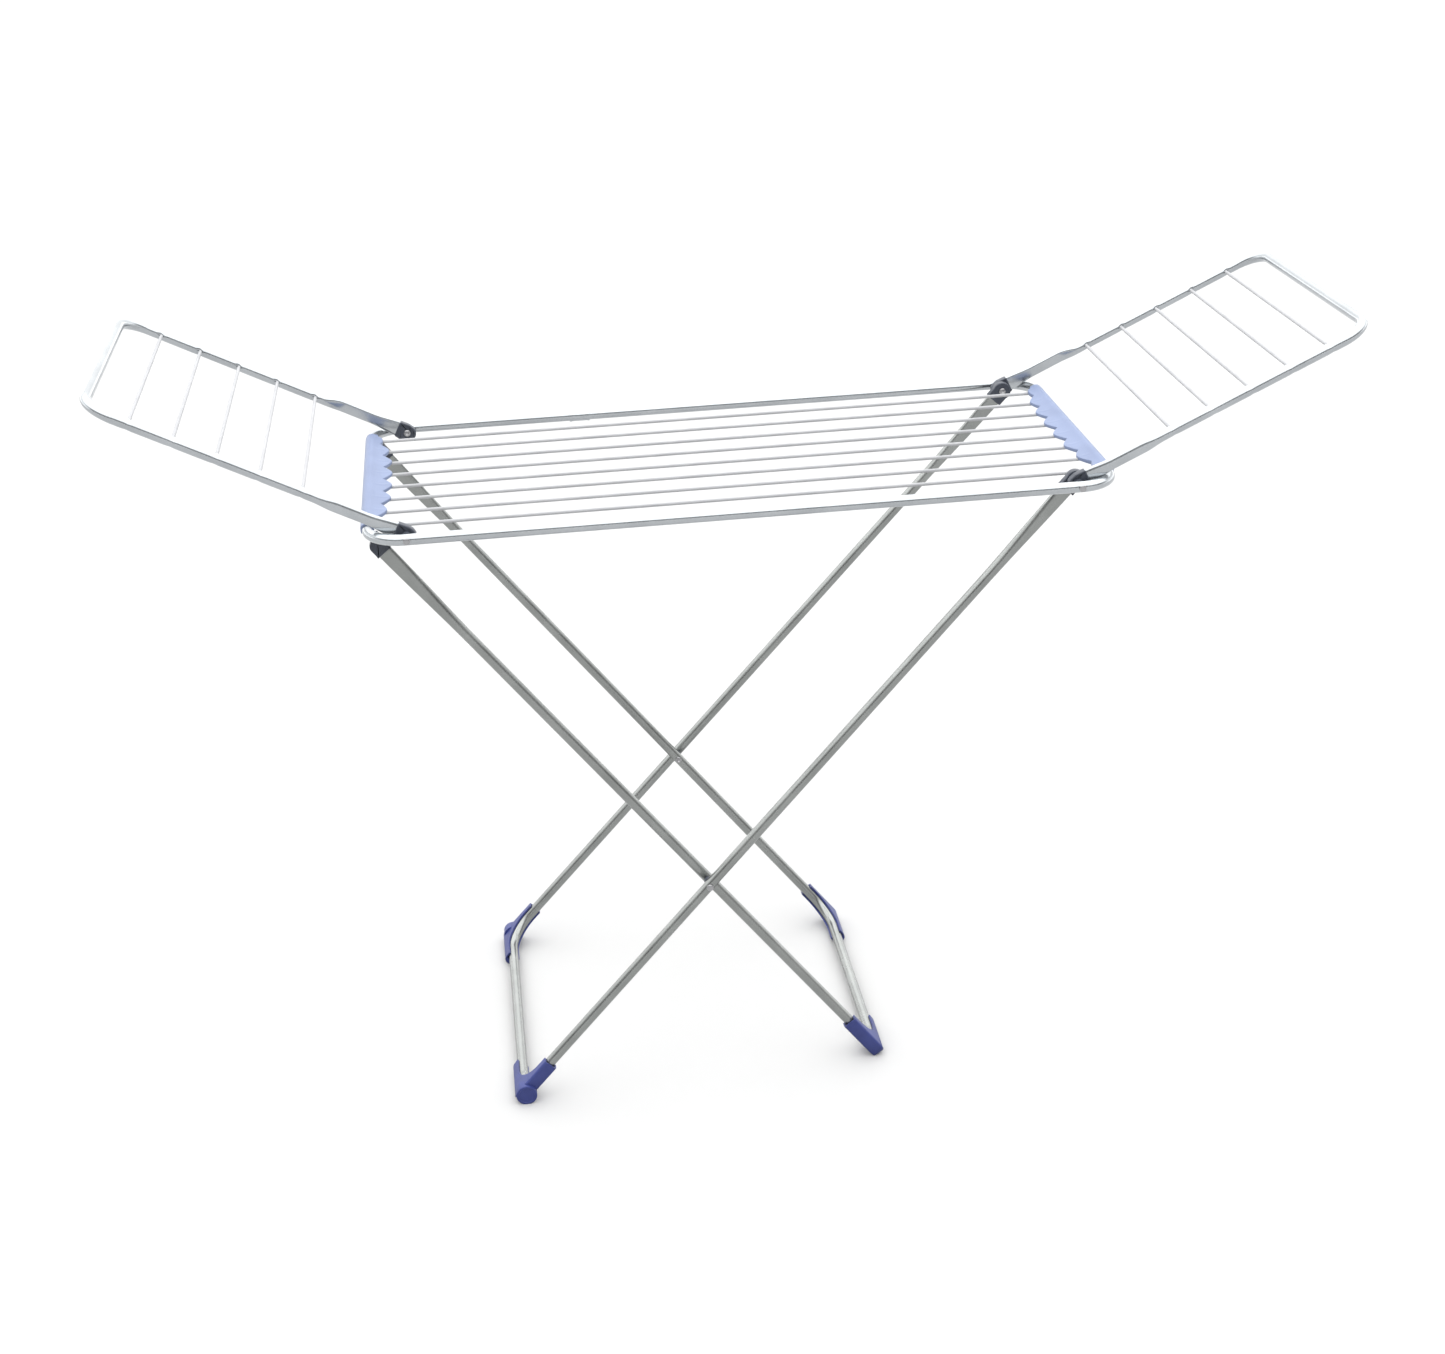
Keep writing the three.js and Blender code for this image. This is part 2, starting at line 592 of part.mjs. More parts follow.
function makeOuterLegs(parent) {
  const leg = makeLegGroup(parent, RIGHT_PIVOT_X, FRAME_Z, OUTER_FOOT_X);
  leg.footX = OUTER_FOOT_X;
  const tube = bentTube(legRoute(BLADE_START, leg.length, OUTER_TOP_Y, OUTER_FOOT_Y));
  for (const side of [1, -1]) {
    const lean = (OUTER_FOOT_Y - OUTER_TOP_Y) / leg.length;
    const start = new THREE.Vector3(BLADE_START, side * (OUTER_TOP_Y + lean * BLADE_START), 0);
    const along = new THREE.Vector3(1, side * lean, 0).normalize();
    pressEnd(tube, start, along, LEG_ROUND_AGAIN - BLADE_START, BLADE_START, legBlade);
  }
  const hole = barAlongY(RIVET_HOLE_R, ROUND_SIDES, 0, 0, -RAIL_Y, RAIL_Y);
  const crossing = crossingPoint();
  const crossHole = barAlongY(RIVET_HOLE_R, ROUND_SIDES, crossing.outerDistance, 0, -RAIL_Y, RAIL_Y);
  addPiece(leg.group, 'outer_leg_tube', cut(tube, [hole, crossHole]), silverTube);

  const capRound = 14;
  const capHalfWidth = 13;
  const capOpen = 20;
  const tilt = Math.asin(capHalfWidth / capRound) * THREE.MathUtils.RAD2DEG;
  const outline = [
    [capOpen, capHalfWidth],
    ...arcPoints(0, 0, capRound, tilt, 360 - tilt, 10),
    [capOpen, -capHalfWidth],
  ];
  const cavity = [
    [capOpen + 1, 11.5],
    [0, 11.5],
    [-6, 8.8],
    [-8.5, 4.5],
    [-8.5, -4.5],
    [-6, -8.8],
    [0, -11.5],
    [capOpen + 1, -11.5],
  ];
  const crossY = OUTER_TOP_Y + (OUTER_FOOT_Y - OUTER_TOP_Y) * crossing.outerDistance / leg.length;
  for (const [place, side] of [['front', -1], ['back', 1]]) {
    const middle = side * OUTER_TOP_Y;
    const cap = cut(plateAcrossY(outline, OUTER_CAP_T, middle), [
      plateAcrossY(cavity, CAP_CAVITY_T, middle),
      hole,
    ]);
    addPiece(leg.group, `outer_leg_${place}_cap`, cap, capGrey);
    const shoe = shoeGeometry(leg, OUTER_TOP_Y, OUTER_FOOT_Y, side, true);
    addPiece(leg.group, `outer_leg_${place}_foot`, shoe, shoeBlue);

    const rivet = rivetGeometry(crossY + TUBE_R + 2 * GAP, INNER_Y - TUBE_R - GAP);
    placeOnSide(addPiece(leg.group, `crossing_${place}_rivet`, rivet, rivetSteel), crossing.outerDistance, 0, side);
    const ring = ringGeometry(RIVET_HOLE_R, WASHER_R, INNER_Y + TUBE_R + GAP, crossY - TUBE_R - 2 * GAP, ROUND_SIDES);
    placeOnSide(addPiece(leg.group, `crossing_${place}_spacer`, ring, capGrey), crossing.outerDistance, 0, side);
  }
}

// Where the two leg frames cross, as a distance down each of them.
function crossingPoint() {
  const outerRun = new THREE.Vector2(OUTER_FOOT_X - RIGHT_PIVOT_X, CROSSBAR_Z - FRAME_Z);
  const innerRun = new THREE.Vector2(INNER_FOOT_X - INNER_TOP_X, CROSSBAR_Z - INNER_TOP_Z);
  const between = new THREE.Vector2(INNER_TOP_X - RIGHT_PIVOT_X, INNER_TOP_Z - FRAME_Z);
  const turn = outerRun.cross(innerRun);
  return {
    outerDistance: outerRun.length() * between.cross(innerRun) / turn,
    innerDistance: innerRun.length() * between.cross(outerRun) / turn,
  };
}

function makeInnerLegs(parent) {
  const leg = makeLegGroup(parent, INNER_TOP_X, INNER_TOP_Z, INNER_FOOT_X);
  leg.footX = INNER_FOOT_X;
  const tube = bentTube(legRoute(INNER_TUBE_START, leg.length, INNER_Y, INNER_Y));
  for (const side of [1, -1]) {
    const start = new THREE.Vector3(INNER_TUBE_START, side * INNER_Y, 0);
    const fromNose = BLADE_START;
    pressEnd(tube, start, new THREE.Vector3(1, 0, 0), LEG_ROUND_AGAIN - BLADE_START, fromNose, legBlade);
  }
  const crossing = crossingPoint();
  const crossHole = barAlongY(RIVET_HOLE_R, ROUND_SIDES, crossing.innerDistance, 0, -RAIL_Y, RAIL_Y);
  addPiece(leg.group, 'inner_leg_tube', cut(tube, [crossHole]), silverTube);

  // The upper edge slants so that the cap leaves the end tube cleanly as the rack folds.
  const outline = [
    [24, 12],
    [-4.5, 12],
    [-5.8, 10.2],
    [2, -8.5],
    [6, -11.2],
    [9, -12],
    [24, -12],
  ];
  const cavity = [
    [25, 11.5],
    [8, 11.5],
    [4, 7],
    [4, -7],
    [8, -10.6],
    [12, -11.4],
    [25, -11.4],
  ];
  for (const [place, side] of [['front', -1], ['back', 1]]) {
    const middle = side * INNER_Y;
    const cap = cut(plateAcrossY(outline, HOOK_CAP_T, middle), [plateAcrossY(cavity, CAP_CAVITY_T, middle)]);
    addPiece(leg.group, `inner_leg_${place}_cap`, cap, capGrey);
    const shoe = shoeGeometry(leg, INNER_Y, INNER_Y, side, false);
    addPiece(leg.group, `inner_leg_${place}_foot`, shoe, shoeBlue);
  }
}

// ---- The rack ---------------------------------------------------------------------------

const rack = new THREE.Group();
makeCentreFrame(rack);
makeWires(rack);
makeComb(rack, 'left_comb', LEFT_END_X, 1);
makeComb(rack, 'right_comb', RIGHT_END_X, -1);
makeRailRivets(rack);
makeWing(rack, 'left', LEFT_PIVOT_X, 180 + LEFT_WING_RISE, -1);
makeWing(rack, 'right', RIGHT_PIVOT_X, -RIGHT_WING_RISE, 1);
makeOuterLegs(rack);
makeInnerLegs(rack);

export default rack;
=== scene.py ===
"""Looks of a folding winged clothes airer: round coated tubes with pressed ends,
coated wires, moulded combs, caps and feet, and riveted hinges, in metres."""

import json
import math

import bmesh
import bpy
from mathutils import Matrix, Vector


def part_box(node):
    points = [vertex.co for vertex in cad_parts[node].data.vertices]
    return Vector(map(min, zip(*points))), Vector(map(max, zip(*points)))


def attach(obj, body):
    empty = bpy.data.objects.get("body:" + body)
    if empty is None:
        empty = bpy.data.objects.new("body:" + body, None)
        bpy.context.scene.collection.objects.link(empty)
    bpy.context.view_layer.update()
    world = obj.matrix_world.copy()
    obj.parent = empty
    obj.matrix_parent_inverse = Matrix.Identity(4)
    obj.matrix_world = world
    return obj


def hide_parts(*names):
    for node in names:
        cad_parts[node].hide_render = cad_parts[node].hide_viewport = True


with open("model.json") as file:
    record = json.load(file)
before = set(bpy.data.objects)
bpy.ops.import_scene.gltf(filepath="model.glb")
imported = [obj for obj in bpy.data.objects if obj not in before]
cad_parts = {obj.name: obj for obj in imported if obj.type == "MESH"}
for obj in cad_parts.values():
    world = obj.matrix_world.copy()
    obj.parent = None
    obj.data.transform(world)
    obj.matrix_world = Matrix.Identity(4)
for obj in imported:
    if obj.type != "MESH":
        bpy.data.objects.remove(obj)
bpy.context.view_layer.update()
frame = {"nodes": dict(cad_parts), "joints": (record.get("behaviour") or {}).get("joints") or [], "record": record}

MM = 0.001
MICRON = 0.001 * MM
MICRON_DIGITS = 6
WELD = 2 * MICRON

# Stock
TUBE_R = 8 * MM
TUBE_SIDES = 28
ROD_R = 2.5 * MM
ROD_SIDES = 16
ROD_BEVEL = 0.5 * MM
BEND_STEPS = 16
SMOOTH_ANGLE = math.radians(34)

# Centre frame and its joint sleeve
FRAME_BEND_R = 52 * MM
SLEEVE_R = 9.6 * MM
SLEEVE_LIP = 0.6 * MM
RAIL_DIMPLE = 0.6 * MM
RAIL_DIMPLE_REACH = 6 * MM

# Combs over the end tubes; reach is measured inward from the tube's axis
COMB_SHELL_R = 10.3 * MM
COMB_CORNER = 7 * MM
COMB_TIP_REACH = 33 * MM
COMB_TIP_FALL = 17 * MM
COMB_VALLEY_REACH = 19.5 * MM
COMB_VALLEY_FALL = 10 * MM
COMB_TOOTH_POWER = 1.5
COMB_RIDGE_ANGLE = 62
COMB_SLOPE_LENGTH = 17 * MM
COMB_PLATE_TOP = 5.6 * MM
COMB_TOP_FALL = 0.042
COMB_PLATE_BOTTOM = -0.3 * MM
COMB_EDGE_ROUND = 0.9 * MM
COMB_EDGE_CUT = 0.3
COMB_SKIRT_ANGLE = 210
COMB_THIN_WALL = 0.3 * MM
COMB_END_RAMP = 8 * MM
COMB_BOSS_HEIGHT = 0.4 * MM
COMB_BOSS_HALF_WIDTH = 5 * MM
COMB_BOSS_RISE = 3
COMB_PLATE_STEPS = 8
COMB_STEP = 2.4 * MM
COMB_END_STEPS = [d * MM for d in (0, 0.2, 0.6, 1.2, 2, 3, 4, 5.5)]

# Wings
WING_ARM_Y = 241 * MM
WING_BEND_R = 44 * MM
WING_BLADE_SHIFT = 6 * MM
WING_BLADE_NARROWS = 60 * MM
WING_BLADE_END = 105 * MM
WING_ROUND_AGAIN = 138 * MM
ROD_DIMPLE = 1.6 * MM
ROD_PINCH = 1.2 * MM
ROD_DIMPLE_REACH = 4.5 * MM
WING_CAP_OUTLINE = [
    (16.5, -11.9), (16.5, 12.3), (1, 13), (-6.5, 11),
    (-11.8, 7.6), (-14.2, 2), (-14.2, -4.6), (6.8, -14),
]
WING_CAP_CORNER = 2.2 * MM

# Pressed tube ends; a squareness of 2 is a circle, and more is a rounded rectangle
ROUND = 2
BLADE_START = -6 * MM
BLADE_T = 7 * MM
BLADE_W = 22 * MM
WING_BLADE_W = 24.4 * MM
BLADE_NOSE = 10 * MM
BLADE_NOSE_LENGTH = 17 * MM
BLADE_SQUARENESS = 4.5
NOSE_STEP = 2 * MM
WING_BLADE_STEP = 4 * MM
LEG_BLADE_STEP = 8 * MM
DENT_FOCUS = 3
LEG_ROUND_AGAIN = 200 * MM

# Moulded caps
CAP_BEVEL = 1.3 * MM
CAP_RIM = 1.4 * MM
CAP_RECESS = 0.5 * MM

# Legs
LEG_BEND_R = 48 * MM
OUTER_TOP_Y = 233 * MM
INNER_TOP_INWARD = 6 * MM
INNER_TOP_DROP = 13.6 * MM
INNER_TUBE_START = 5 * MM
OUTER_CAP_R = 14 * MM
OUTER_CAP_END = 20 * MM
OUTER_CAP_HALF_WIDTH = 13 * MM
OUTER_CAP_ARC = (68.2, 291.8)
HOOK_CAP_OUTLINE = [(24, 12), (-4.5, 12), (-5.8, 10.2), (2, -8.5), (6, -11.2), (9, -12), (24, -12)]
HOOK_CAP_CORNER = 1.6 * MM

# Shoes
SHOE_HALF_T = 11 * MM
SHOE_OUT = 11 * MM
SHOE_NOSE = 16 * MM
SHOE_NOSE_FULLNESS = 2.5
SHOE_IN = 2 * MM
SHOE_CORNER = 12 * MM
SHOE_UP_LEG = 63 * MM
SHOE_ALONG_BAR = 78 * MM
SHOE_BORE = 8.3 * MM
SHOE_BEVEL = 3.6 * MM
SHOE_EASE = 0.05 * MM
SHOE_CUT_PAST = 3 * MM
SHOE_NOSE_STEP = MM
HEEL_R = 16 * MM
HEEL_ALONG = -2.5 * MM
HEEL_NORMAL = 1.8 * MM
HEEL_LENGTH = 19 * MM
HEEL_PROUD = 5 * MM
HEEL_SOFT = 1.2 * MM

# Rivets and washers; the heads' (radius, height) pairs are parts of the head's own size
RIVET_R = 3 * MM
RIVET_HEAD_R = 5.2 * MM
RIVET_HEAD_T = 2 * MM
RIVET_RIM = 0.3
RIVET_INNER_HEAD = [(0, 0.55), (0.35, 0.6), (0.5, 1), (0.75, 0.95), (1, 0.5), (1, 0)]
RIVET_OUTER_HEAD = [
    (1, -RIVET_RIM), (1, RIVET_RIM), (0.86, 0.62), (0.6, 0.86), (0.3, 0.97), (0, 1),
]
WASHER_EASE = 0.2 * MM
WASHER_SOFT = 0.4 * MM
ROUND_SIDES = 28

# ---- Where things are, from the frame ------------------------------------------------------

record = frame["record"]
body_of_node = {n: b for b, ns in record["behaviour"]["bodies"].items() for n in ns}
slot_of_node = {s["node"]: s["material_slot"] for s in record["subparts"]}
pivots = {j["name"]: Vector(j["pos_m"]) for j in frame["joints"]}


def centre(node):
    low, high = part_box(node)
    return (low + high) / 2


frame_low, frame_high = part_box("centre_frame_tube")
LEFT_END_X = frame_low.x + TUBE_R
RIGHT_END_X = frame_high.x - TUBE_R
RAIL_Y = frame_high.y - TUBE_R
FRAME_Z = (frame_low.z + frame_high.z) / 2
WIRES = sorted(n for n in frame["nodes"] if n.startswith("drying_wire_"))
WIRE_YS = sorted(centre(n).y for n in WIRES)
WIRE_PITCH = WIRE_YS[1] - WIRE_YS[0]
OUTER_WIRE_Y = WIRE_YS[-1]
SIDES = (("front", -1), ("back", 1))


# ---- Materials -----------------------------------------------------------------------------

TONE_LOW, TONE_HIGH = 0.3, 0.7
TONE_DETAIL = 5
BUMP_DETAIL = 3
BUMP_DISTANCE = 0.2 * MM


def node_material(name, colours, roughness, grain, metallic=0.0, specular=0.5):
    """Two close tones mixed by soft noise, uneven roughness, and a fine bump.
    grain is (tone scale, bump scale, bump strength)."""
    tone_scale, bump_scale, bump_strength = grain
    material = bpy.data.materials.new(name)
    material.use_nodes = True
    nodes = material.node_tree.nodes
    links = material.node_tree.links
    shader = nodes["Principled BSDF"]
    shader.inputs["Metallic"].default_value = metallic
    shader.inputs["Specular IOR Level"].default_value = specular

    place = nodes.new("ShaderNodeTexCoord")
    tone = nodes.new("ShaderNodeTexNoise")
    tone.inputs["Scale"].default_value = tone_scale
    tone.inputs["Detail"].default_value = TONE_DETAIL
    links.new(place.outputs["Object"], tone.inputs["Vector"])

    ramp = nodes.new("ShaderNodeValToRGB")
    for stop, position, colour in zip(ramp.color_ramp.elements, (TONE_LOW, TONE_HIGH), colours):
        stop.position = position
        stop.color = (*colour, 1)
    links.new(tone.outputs["Fac"], ramp.inputs["Fac"])
    links.new(ramp.outputs["Color"], shader.inputs["Base Color"])

    uneven = nodes.new("ShaderNodeMapRange")
    uneven.inputs["To Min"].default_value = roughness[0]
    uneven.inputs["To Max"].default_value = roughness[1]
    links.new(tone.outputs["Fac"], uneven.inputs["Value"])
    links.new(uneven.outputs["Result"], shader.inputs["Roughness"])

    texture = nodes.new("ShaderNodeTexNoise")
    texture.inputs["Scale"].default_value = bump_scale
    texture.inputs["Detail"].default_value = BUMP_DETAIL
    links.new(place.outputs["Object"], texture.inputs["Vector"])
    bump = nodes.new("ShaderNodeBump")
    bump.inputs["Strength"].default_value = bump_strength
    bump.inputs["Distance"].default_value = BUMP_DISTANCE
    links.new(texture.outputs["Fac"], bump.inputs["Height"])
    links.new(bump.outputs["Normal"], shader.inputs["Normal"])
    return material


MATERIALS = {
    "tube_steel": node_material(
        "silver_tube", ((0.375, 0.395, 0.412), (0.44, 0.462, 0.48)),
        roughness=(0.16, 0.26), grain=(16, 900, 0.12), metallic=0.92,
    ),
    "coated_wire": node_material(
        "white_wire", ((0.318, 0.322, 0.333), (0.368, 0.372, 0.383)),
        roughness=(0.4, 0.52), grain=(30, 1200, 0.08), specular=0.12,
    ),
    "comb_plastic": node_material(
        "comb_blue", ((0.123, 0.158, 0.262), (0.152, 0.191, 0.305)),
        roughness=(0.38, 0.5), grain=(22, 1500, 0.16), specular=0.35,
    ),
    "cap_plastic": node_material(
        "cap_slate", ((0.030, 0.035, 0.047), (0.046, 0.053, 0.070)),
        roughness=(0.34, 0.48), grain=(40, 1800, 0.2), specular=0.35,
    ),
    "foot_plastic": node_material(
        "foot_indigo", ((0.021, 0.029, 0.120), (0.032, 0.044, 0.168)),
        roughness=(0.36, 0.5), grain=(30, 1500, 0.18), specular=0.3,
    ),
    "rivet_steel": node_material(
        "rivet_bright", ((0.31, 0.31, 0.32), (0.37, 0.37, 0.38)),
        roughness=(0.26, 0.38), grain=(60, 900, 0.1), metallic=1.0,
    ),
}
# The legs are the tubes' paint made darker and less blue: painted shade for the darker surroundings that the legs
# reflect
LEG_PAINT_PAINTED_SHADE = node_material(
    "leg_tube", ((0.237, 0.246, 0.240), (0.292, 0.303, 0.296)),
    roughness=(0.2, 0.32), grain=(20, 900, 0.12), metallic=0.92,
)


# ---- Mesh helpers --------------------------------------------------------------------------

def add_piece(node, bm, place=Matrix.Identity(4), material=None):
    """Finishes a mesh as the piece that stands for one CAD node."""
    bmesh.ops.transform(bm, matrix=place, verts=bm.verts)
    bmesh.ops.dissolve_degenerate(bm, edges=bm.edges, dist=WELD)
    bmesh.ops.recalc_face_normals(bm, faces=bm.faces)
    mesh = bpy.data.meshes.new(node + "_fine")
    bm.to_mesh(mesh)
    bm.free()
    mesh.shade_smooth()
    mesh.set_sharp_from_angle(angle=SMOOTH_ANGLE)
    piece = bpy.data.objects.new(node + "_fine", mesh)
    bpy.context.scene.collection.objects.link(piece)
    mesh.materials.append(material or MATERIALS[slot_of_node[node]])
    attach(piece, body_of_node[node])
    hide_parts(node)
    return piece


def loft(rings, closed=False):
    """A skin over rings of equal length, with flat ends unless the loft is closed."""
    bm = bmesh.new()
    loops = [[bm.verts.new(p) for p in ring] for ring in rings]
    pairs = list(zip(loops, loops[1:] + (loops[:1] if closed else [])))
    for a, b in pairs:
        for i in range(len(a)):
            j = (i + 1) % len(a)
            bm.faces.new((a[i], a[j], b[j], b[i]))
    if not closed:
        bm.faces.new(loops[0])
        bm.faces.new(loops[-1])
    return bm


def lathe(profile, sides):
    """A solid of revolution about Y, from (radius, y) pairs that start and end on the axis
    or, for a ring, come back to the first pair."""
    bm = bmesh.new()
    loops = []
    for radius, y in profile:
        if radius == 0:
            loops.append([bm.verts.new((0, y, 0))] * sides)
        else:
            turns = [math.tau * i / sides for i in range(sides)]
            points = [(radius * math.cos(a), y, radius * math.sin(a)) for a in turns]
            loops.append([bm.verts.new(p) for p in points])
    is_ring = profile[0][0] > 0
    for a, b in zip(loops, loops[1:] + (loops[:1] if is_ring else [])):
        for i in range(sides):
            j = (i + 1) % sides
            corners = list(dict.fromkeys((a[i], a[j], b[j], b[i])))
            bm.faces.new(corners)
    return bm


def arc(centre_x, centre_y, radius, start, end, steps):
    """Points on a circle, with angles in degrees."""
    angles = [math.radians(start + (end - start) * i / steps) for i in range(steps + 1)]
    return [(centre_x + radius * math.cos(a), centre_y + radius * math.sin(a)) for a in angles]


def rounded(outline, radius, steps=4):
    """The outline with each corner replaced by a small curve, kept within its two edges."""
    points = [Vector(p) for p in outline]
    out = []
    for i, corner in enumerate(points):
        before = points[i - 1] - corner
        after = points[(i + 1) % len(points)] - corner
        half = before.normalized().angle(after.normalized()) / 2
        room = 0.45 * min(before.length, after.length)
        back = min(radius / math.tan(half), room)
        start, end = corner + before.normalized() * back, corner + after.normalized() * back
        for step in range(steps + 1):
            t = step / steps
            out.append((start * (1 - t) + corner * t) * (1 - t) + (corner * (1 - t) + end * t) * t)
    return [tuple(p) for p in out]


def plate(outline, low, high, bevel, axis="y", rim=0.0, recess=0.0):
    """A moulded plate between two levels along Y or Z, with rounded edges. rim and recess
    sink its two faces a little inside a raised border."""
    bm = bmesh.new()
    if axis == "y":
        bottom = bm.faces.new([bm.verts.new((x, low, z)) for x, z in outline])
        lift = Vector((0, high - low, 0))
    else:
        bottom = bm.faces.new([bm.verts.new((x, y, low)) for x, y in outline])
        lift = Vector((0, 0, high - low))
    top = bmesh.ops.extrude_face_region(bm, geom=[bottom], use_keep_orig=True)
    moved = [v for v in top["geom"] if isinstance(v, bmesh.types.BMVert)]
    bmesh.ops.translate(bm, vec=lift, verts=moved)
    bmesh.ops.recalc_face_normals(bm, faces=bm.faces)
    if bevel:
        rims = [e for f in bm.faces if len(f.verts) == len(outline) for e in f.edges]
        bmesh.ops.bevel(
            bm, geom=list(set(rims)), offset=bevel, segments=3, profile=0.5, affect="EDGES"
        )
    if rim:
        faces = [f for f in bm.faces if len(f.verts) == len(outline)]
        bmesh.ops.inset_individual(bm, faces=faces, thickness=rim, depth=0)
        bmesh.ops.inset_individual(bm, faces=faces, thickness=recess, depth=-recess)
    return bm


def boolean(base, tools):
    """base with each (operation, mesh) applied in turn. Takes and gives bmeshes."""
    scratch = [as_object(base)]
    for operation, tool in tools:
        scratch.append(as_object(tool))
        modifier = scratch[0].modifiers.new("cut", "BOOLEAN")
        modifier.operation = operation
        modifier.solver = "EXACT"
        modifier.object = scratch[-1]
    graph = bpy.context.evaluated_depsgraph_get()
    result = bmesh.new()
    result.from_object(scratch[0], graph)
    for item in scratch:
        mesh = item.data
        bpy.data.objects.remove(item)
        bpy.data.meshes.remove(mesh)
    return result


def as_object(bm):
    mesh = bpy.data.meshes.new("scratch")
    bmesh.ops.recalc_face_normals(bm, faces=bm.faces)
    bm.to_mesh(mesh)
    bm.free()
    item = bpy.data.objects.new("scratch", mesh)
    bpy.context.scene.collection.objects.link(item)
    return item


# ---- Bent tubes ----------------------------------------------------------------------------

def route(corners, bend_radius, stops):
    """(point, direction, distance from the start) along straight runs and round bends in
    a local XY plane. stops are extra distances on the first run."""
    points = [Vector((x, y, 0)) for x, y in corners]
    out = []
    travelled = 0
    run_start = points[0]
    for i in range(1, len(points)):
        along = (points[i] - points[i - 1]).normalized()
        if i == 1:
            out += [(run_start + along * s, along, s) for s in stops]
        if i == len(points) - 1:
            out.append((points[i], along, travelled + (points[i] - run_start).length))
            break
        onward = (points[i + 1] - points[i]).normalized()
        turn = along.angle(onward)
        back = bend_radius * math.tan(turn / 2)
        side = (onward - along * along.dot(onward)).normalized()
        middle = points[i] - along * back + side * bend_radius
        travelled += (points[i] - along * back - run_start).length
        for step in range(BEND_STEPS + 1):
            a = turn * step / BEND_STEPS
            point = middle - side * bend_radius * math.cos(a) + along * bend_radius * math.sin(a)
            direction = along * math.cos(a) + side * math.sin(a)
            out.append((point, direction, travelled + bend_radius * a))
        travelled += bend_radius * turn
        run_start = points[i] + onward * back
    return out


def tube_ring(point, direction, section):
    """One ring of a tube in the local XY plane; outward is to the left of travel. The
    outward half is always round."""
    outward = Vector((0, 0, 1)).cross(direction)
    ring = []
    for i in range(TUBE_SIDES):
        a = math.tau * i / TUBE_SIDES
        cos, sin = math.cos(a), math.sin(a)
        power = 1 if cos > 0 else ROUND / section["squareness"]
        across = math.copysign(abs(cos) ** power, cos) * section["thickness"] / 2
        up = math.copysign(abs(sin) ** power, sin) * section["width"] / 2
        across += section["shift"]
        across -= section["outer_dent"] * max(0, cos) ** DENT_FOCUS
        across += section["inner_dent"] * max(0, -cos) ** DENT_FOCUS
        ring.append(point + outward * across + Vector((0, 0, up)))
    return ring


def round_section(**changes):
    section = {
        "thickness": 2 * TUBE_R, "width": 2 * TUBE_R, "shift": 0, "squareness": ROUND,
        "outer_dent": 0, "inner_dent": 0,
    }
    section.update(changes)
    return section


def smooth(value, low, high):
    t = min(1, max(0, (value - low) / (high - low)))
    return t * t * (3 - 2 * t)


def bell(distance, reach):
    return math.exp(-((distance / reach) ** 2))


def nose_width(t, full_width):
    """The width of a pressed end's rounded nose, t along the tube."""
    back = max(0, BLADE_NOSE - t) / BLADE_NOSE_LENGTH
    return full_width * math.sqrt(1 - back * back)


def pressed(press, width, shift, **changes):
    """A section between the round tube (press 0) and the flat blade (press 1)."""
    return round_section(
        thickness=2 * TUBE_R + (BLADE_T - 2 * TUBE_R) * press,
        width=width,
        shift=shift * press,
        squareness=ROUND + (BLADE_SQUARENESS - ROUND) * press,
        **changes,
    )


def mirrored(rings):
    return [[Vector((p.x, -p.y, p.z)) for p in ring] for ring in reversed(rings)]


def u_tube(corners, bend_radius, stops, section_at):
    """A U-shaped tube from half of its route, which ends in the middle of the crossbar."""
    half = [tube_ring(p, d, section_at(s)) for p, d, s in route(corners, bend_radius, stops)]
    return loft(half + mirrored(half[:-1]))


def ladder(low, high, step):
    count = math.ceil((high - low) / step)
    return [low + (high - low) * i / count for i in range(count + 1)]


def local_frame(origin, along):
    """Local X runs along, local Y is the row's Y, local Z is their normal."""
    x = along.normalized()
    y = Vector((0, 1, 0))
    z = x.cross(y)
    place = Matrix((x, y, z)).transposed().to_4x4()
    place.translation = origin
    return place


def bar(radius, sides, start, end, bevel):
    """A straight round bar from start to end with softened ends."""
    along = (end - start).normalized()
    length = (end - start).length
    profile = [
        (0, 0), (radius - bevel, 0), (radius, bevel),
        (radius, length - bevel), (radius - bevel, length), (0, length),
    ]
    bm = lathe(profile, sides)
    turn = Vector((0, 1, 0)).rotation_difference(along).to_matrix().to_4x4()
    turn.translation = start
    bmesh.ops.transform(bm, matrix=turn, verts=bm.verts)
    return bm


# ---- Centre frame --------------------------------------------------------------------------

